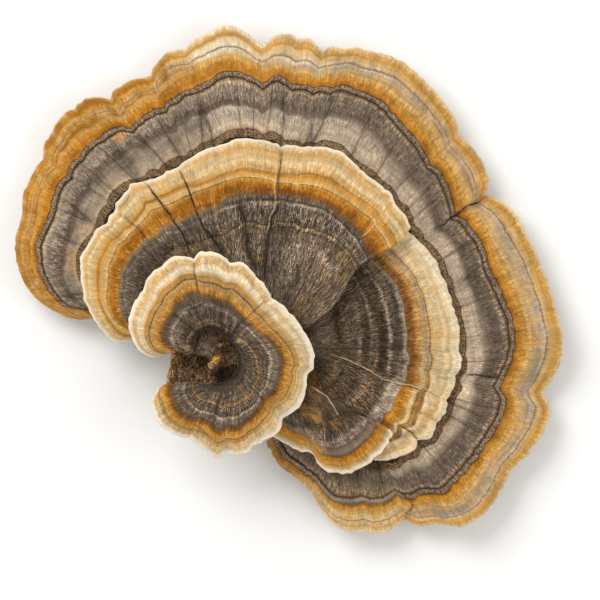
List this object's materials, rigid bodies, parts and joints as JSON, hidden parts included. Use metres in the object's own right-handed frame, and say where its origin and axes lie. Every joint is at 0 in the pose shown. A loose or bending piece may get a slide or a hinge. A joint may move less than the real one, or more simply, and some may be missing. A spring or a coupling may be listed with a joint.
{
  "type": "turkey tail fungus",
  "caption": "Cluster of thin, zoned bracket fungus caps overlapping like a rosette, with a funnel-shaped cap on top, cut off flat where it grew.",
  "frame": {"origin": "centre of the flat face where the cluster is cut off the wood", "axes": "+Z away from the wood, through the caps; +X along the widest spread of the rosette, away from the side where the funnel-shaped cap stands; +Y towards the broad side of the fan"},
  "size_m": [0.096, 0.089, 0.0167],
  "materials": {
    "pad_tissue": "rough, fibrous",
    "back_cap": "matt, velvety",
    "dark_cap": "matt, velvety",
    "grey_cap": "matt, velvety",
    "banded_cap": "matt, velvety",
    "old_tissue": "rough, fibrous",
    "funnel_cap": "matt, velvety"
  },
  "bodies": {
    "root": {"attachment_pad": "pad_tissue", "back_bracket": "back_cap", "right_bracket": "dark_cap", "lower_bracket": "grey_cap", "middle_bracket": "banded_cap", "core_stub": "old_tissue", "front_cap": "funnel_cap"}
  },
  "joints": []
}
